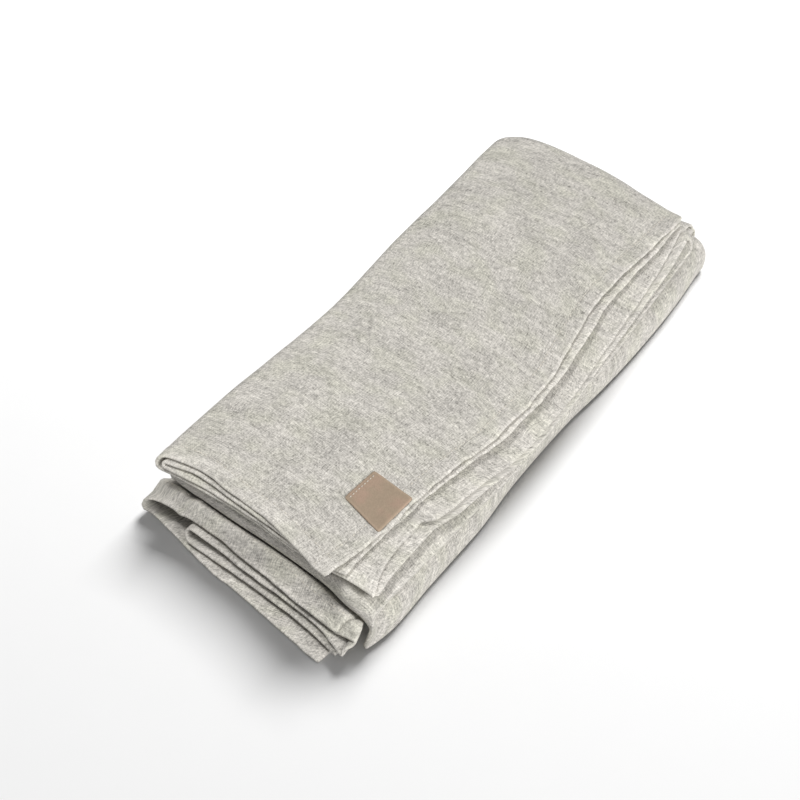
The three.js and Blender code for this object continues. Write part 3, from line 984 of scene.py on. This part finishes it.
# Stitches: the length, spacing and thickness of the hems' and the label's, where the first
# one starts, how far its middle bows up from its sunk ends, the lattice column where the front
# seam meets the side seam, and the sides and rings of each.
HEM_STITCH = dict(length=2.3, apart=3.4, radius=0.3)
LABEL_STITCH = dict(length=1.5, apart=2.7, radius=0.32)
FIRST_STITCH = 1.0
STITCH_BOW = 0.3
STITCH_SUNK = 0.1
SIDE_SEAM_COLUMN = 5
SIDES = 6
RINGS = [(0, 0.3), (0.1, 0.8), (0.3, 1), (0.7, 1), (0.9, 0.8), (1, 0.3)]


def stitch_mesh(path, up, length, apart, radius):
    """A row of small rounded stitches along a path of points, with the way up at each."""
    steps = np.linalg.norm(np.diff(path, axis=0), axis=1)
    reached = np.concatenate([[0], np.cumsum(steps)])

    def at(distance, values):
        return np.array([np.interp(distance, reached, values[:, i]) for i in range(3)])

    vertices, faces = [], []
    start = FIRST_STITCH
    while start + length < reached[-1]:
        forward = at(start + length, path) - at(start, path)
        forward = forward / np.linalg.norm(forward)
        above = at(start, up)
        above = above / np.linalg.norm(above)
        aside = np.cross(forward, above)
        aside = aside / np.linalg.norm(aside)
        first = len(vertices)
        for share, size in RINGS:
            bow = STITCH_BOW * math.sin(math.pi * share) - STITCH_SUNK
            middle = at(start + share * length, path) + above * bow
            for side in range(SIDES):
                turn = 2 * math.pi * side / SIDES
                ring = aside * math.cos(turn) + above * math.sin(turn)
                vertices.append(middle + ring * radius * size)
        for ring in range(len(RINGS) - 1):
            a = first + ring * SIDES
            for side in range(SIDES):
                after = (side + 1) % SIDES
                faces.append([a + side, a + after, a + SIDES + after, a + SIDES + side])
        faces.append([first + side for side in range(SIDES)][::-1])
        faces.append([first + (len(RINGS) - 1) * SIDES + side for side in range(SIDES)])
        start += apart
    return vertices, faces


def seam_path(face, up, distance):
    """Where each line of the lattice is one stitch seam in from the cloth's edge."""
    path = [[np.interp(STITCH_IN, d, f[:, i]) for i in range(3)] for f, d in zip(face, distance)]
    return np.array(path), up[:, 0]


def hem_stitches(points, out, thickness, far):
    """Stitches of the hems that show: the top sheet's side and front, the bottom pack's front."""
    up = out * np.sign(out[..., 2:])
    face = points + up * (thickness / 2)[..., None]
    across, along = far["across"], far["along"]
    side = slice(0, 2 * UNIT)
    seams = [seam_path(face[:ARM, side], up[:ARM], across[:ARM, side])]

    # the front seams run the other way over the lattice
    turned = (1, 0, 2)
    front = slice(0, ARM // 4)
    run = slice(SIDE_SEAM_COLUMN, RUN)
    path = face[front, run].transpose(turned)
    seams.append(seam_path(path, up[:1, run].transpose(turned), along[front, run].T))
    back = slice(-1, -ARM // 4, -1)
    run = slice(RUN + FOLD, RUN + FOLD + RUN)
    path = face[back, run].transpose(turned)
    to_end = along[-1:, run] - along[back, run]
    seams.append(seam_path(path, up[-1:, run].transpose(turned), to_end.T))
    vertices, faces = [], []
    for path, above in seams:
        more, rings = stitch_mesh(path, above, **HEM_STITCH)
        faces += [[i + len(vertices) for i in ring] for ring in rings]
        vertices += more
    return vertices, faces


thread = plain_material(
    "linen_thread", THREAD, LINEN, size=4.0, contrast=0.3, roughness=0.8, depth=0.05
)
stitches = add_mesh("hem_stitches", *hem_stitches(*surface))
stitches.data.materials.append(thread)
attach(stitches, "root")

# The sewn-on label, by its corners in the photo: it is a little out of square. It is a grid
# of steps with rounded corners and edges, which lies close over the cloth and sinks a little
# into it. The middle of its near side lifts, and its face is slightly wavy.
LABEL_CORNERS = dict(
    far_left=(39.4, -123.3),
    far_right=(72.6, -127.2),
    near_right=(71.2, -161.2),
    near_left=(37.6, -151.8),
)
LABEL_THICK = 0.9
LABEL_STEPS = 36
LABEL_ROUND = 0.1
LABEL_GAP = 0.12
LABEL_SINK = 0.1
LABEL_LIFT = dict(high=0.55, near=(-0.5, -1), aside=(0.2, 1), middle=-0.1)
LABEL_EDGE = 0.25
LABEL_EDGE_FROM = 1 - 2.5 / LABEL_STEPS
LABEL_WAVES = (0.06, 7, 5, 21)
WORN_FROM = 0.86
LABEL_SEAM_COLUMN = 3


def label_grid():
    """Plan places of the label's points, with its corners rounded, and their shares."""
    share = np.linspace(-1, 1, LABEL_STEPS + 1)
    u, v = np.meshgrid(share, share, indexing="ij")
    du = np.maximum(np.abs(u) - (1 - LABEL_ROUND), 0)
    dv = np.maximum(np.abs(v) - (1 - LABEL_ROUND), 0)
    squeeze = np.maximum(du, dv) / np.maximum(np.hypot(du, dv), 1e-9)
    squeeze = np.where((du > 0) & (dv > 0), squeeze, 1)
    u = u - np.sign(u) * du * (1 - squeeze)
    v = v - np.sign(v) * dv * (1 - squeeze)
    a = (u[..., None] + 1) / 2
    b = (v[..., None] + 1) / 2
    corner = {name: np.array(place) for name, place in LABEL_CORNERS.items()}
    near = corner["near_left"] * (1 - a) + corner["near_right"] * a
    far = corner["far_left"] * (1 - a) + corner["far_right"] * a
    return near * (1 - b) + far * b, u, v


def surface_under(places):
    """Height of the cloth's top face under each place, seen from above."""
    tree = BVHTree.FromPolygons([tuple(point) for point in cloth_points], cloth_faces)
    flat = places.reshape(-1, 2)
    hits = [tree.ray_cast(Vector((x, y, 2 * HEIGHT)), Vector((0, 0, -1)))[0].z for x, y in flat]
    return np.array(hits).reshape(places.shape[:-1])


def label_mesh():
    """A thin warped slab on the cloth; its near side lifts a little."""
    places, u, v = label_grid()
    ground = surface_under(places)
    terms = [u ** i * v ** j for i in range(4) for j in range(4) if i + j < 4]
    table = np.stack([t.ravel() for t in terms], -1)
    fitted = (table @ np.linalg.lstsq(table, ground.ravel(), rcond=None)[0]).reshape(ground.shape)
    aside = np.abs(u - LABEL_LIFT["middle"])
    lift = ease(*LABEL_LIFT["near"], v) * (1 - ease(*LABEL_LIFT["aside"], aside))
    lift = LABEL_GAP + LABEL_LIFT["high"] * lift
    under = np.maximum(fitted, ground - LABEL_SINK) + lift
    rim = np.maximum(np.abs(u), np.abs(v))
    rounded = LABEL_EDGE * ease(LABEL_EDGE_FROM, 1, rim)
    size, *lengths = LABEL_WAVES
    uneven = size * noise(places[..., 0], places[..., 1], *lengths)
    top = under + LABEL_THICK - rounded + uneven
    count = LABEL_STEPS + 1
    number = np.arange(count * count).reshape(count, count)
    upper = np.concatenate([places, top[..., None]], -1).reshape(-1, 3)
    lower = np.concatenate([places, under[..., None]], -1).reshape(-1, 3)
    rings = []
    for i in range(LABEL_STEPS):
        for j in range(LABEL_STEPS):
            ring = [number[i, j], number[i + 1, j], number[i + 1, j + 1], number[i, j + 1]]
            rings.append(ring)
            rings.append([n + count * count for n in reversed(ring)])
    sides = [number[:-1, 0], number[-1, :-1], number[:0:-1, -1], number[0, :0:-1]]
    border = list(np.concatenate(sides))
    for here, after in zip(border, border[1:] + border[:1]):
        rings.append([after, here, here + count * count, after + count * count])
    shares = dict(rim=np.tile(rim.ravel(), 2))
    return np.concatenate([upper, lower]), rings, shares, upper.reshape(count, count, 3)


def label_material():
    """Tan, faintly pink label, paler along its edges."""
    material, tree = new_material("label_tan")
    place = tree.nodes.new("ShaderNodeTexCoord").outputs["Object"]
    mottle = grain(tree, place, 12, 12, detail=2.0)
    fibre = grain(tree, place, 0.6, 2.5, detail=3.0, turn=0.4)
    speck = grain(tree, place, 1.1, 1.1, detail=2.0)
    worn = fade(tree, attribute(tree, "rim"), WORN_FROM, 1.0)
    parts = [(mottle, 0.2), (fibre, 0.25), (speck, 0.25), (worn, 0.22)]
    brightness = calc(tree, "ADD", total(tree, parts), 1.0)
    colour = two_colours(tree, LABEL, LABEL_PINK, fade(tree, mottle, -0.1, 0.2))
    relief = total(tree, [(fibre, 1.0), (speck, 1.0)])
    finish(tree, colour, brightness, relief, depth=0.15, roughness=0.75, sheen=0.05)
    return material


label_points, label_faces, label_values, label_top = label_mesh()
label = add_mesh("label_patch", label_points, label_faces, label_values)
label.data.materials.append(label_material())
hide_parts("label")
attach(label, "root")

# the label is sewn down along its left side
label_seam = label_top[LABEL_SEAM_COLUMN, 2:-2]
upright = np.broadcast_to([0.0, 0.0, 1.0], label_seam.shape)
label_stitches = add_mesh("label_stitches", *stitch_mesh(label_seam, upright, **LABEL_STITCH))
label_stitches.data.materials.append(thread)
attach(label_stitches, "root")

# the floor, in metres
REACH = 6.0
floor_mesh = bpy.data.meshes.new("floor")
corners = [(-REACH, -REACH, 0), (REACH, -REACH, 0), (REACH, REACH, 0), (-REACH, REACH, 0)]
floor_mesh.from_pydata(corners, [], [(0, 1, 2, 3)])
floor = add_object("floor", floor_mesh)
floor_white = plain_material(
    "floor_white", FLOOR, FLOOR, size=200.0, contrast=0.01, roughness=0.9, depth=0.01
)
floor_mesh.materials.append(floor_white)

# The camera, fitted to the photo: its turn from straight in front of the near end and its
# rise in degrees, and its distance from the point it aims at.
CAMERA_TURN = 36.473
CAMERA_RISE = 48.376
CAMERA_AWAY = 1121.4
CAMERA_AIM_X = -10.06
CAMERA_AIM_Y = -29.05
CAMERA_ANGLE = 28.0
back = direction(CAMERA_TURN - 90, CAMERA_RISE)
aim = Vector((CAMERA_AIM_X - CENTRE_X, CAMERA_AIM_Y - CENTRE_Y, 0)) * MM
camera_data = bpy.data.cameras.new("camera")
camera_data.angle = math.radians(CAMERA_ANGLE)
camera = add_object("camera", camera_data)
camera.location = aim + back * CAMERA_AWAY * MM
aim_along(camera, back)
bpy.context.scene.camera = camera

# Light: a soft sky, a key and a fill for the cloth, and a lamp for the floor alone, so that
# the floor is white and the cloth keeps its tone. Turns and rises are in degrees, distances
# and sizes in metres, and powers in watts.
SKY = 0.27
LAMPS = [
    dict(name="key", turn=-160, rise=70, away=1.8, size=0.4, power=17, floor=False),
    dict(name="fill", turn=-4, rise=32, away=1.8, size=0.8, power=27, floor=False),
    dict(name="floor_key", turn=100, rise=45, away=3.0, size=1.3, power=128, floor=True),
]
world = bpy.data.worlds.new("world")
bpy.context.scene.world = world
world.use_nodes = True
world.node_tree.nodes["Background"].inputs["Color"].default_value = (1, 1, 1, 1)
world.node_tree.nodes["Background"].inputs["Strength"].default_value = SKY


def area_light(name, turn, rise, away, size, power, pieces):
    """A lamp aimed at the part from a turn about z and a rise in degrees, for some pieces."""
    data = bpy.data.lights.new(name, "AREA")
    data.size = size
    data.energy = power
    lamp = add_object(name, data)
    towards = direction(turn, rise)
    lamp.location = towards * away
    aim_along(lamp, towards)
    lit = bpy.data.collections.new(name + "_lights")
    for piece in pieces:
        lit.objects.link(piece)
    lamp.light_linking.receiver_collection = lit


for lamp in LAMPS:
    pieces = [floor] if lamp["floor"] else [cloth, stitches, label, label_stitches]
    settings = {key: value for key, value in lamp.items() if key != "floor"}
    area_light(pieces=pieces, **settings)
bpy.context.scene.view_settings.view_transform = "Standard"
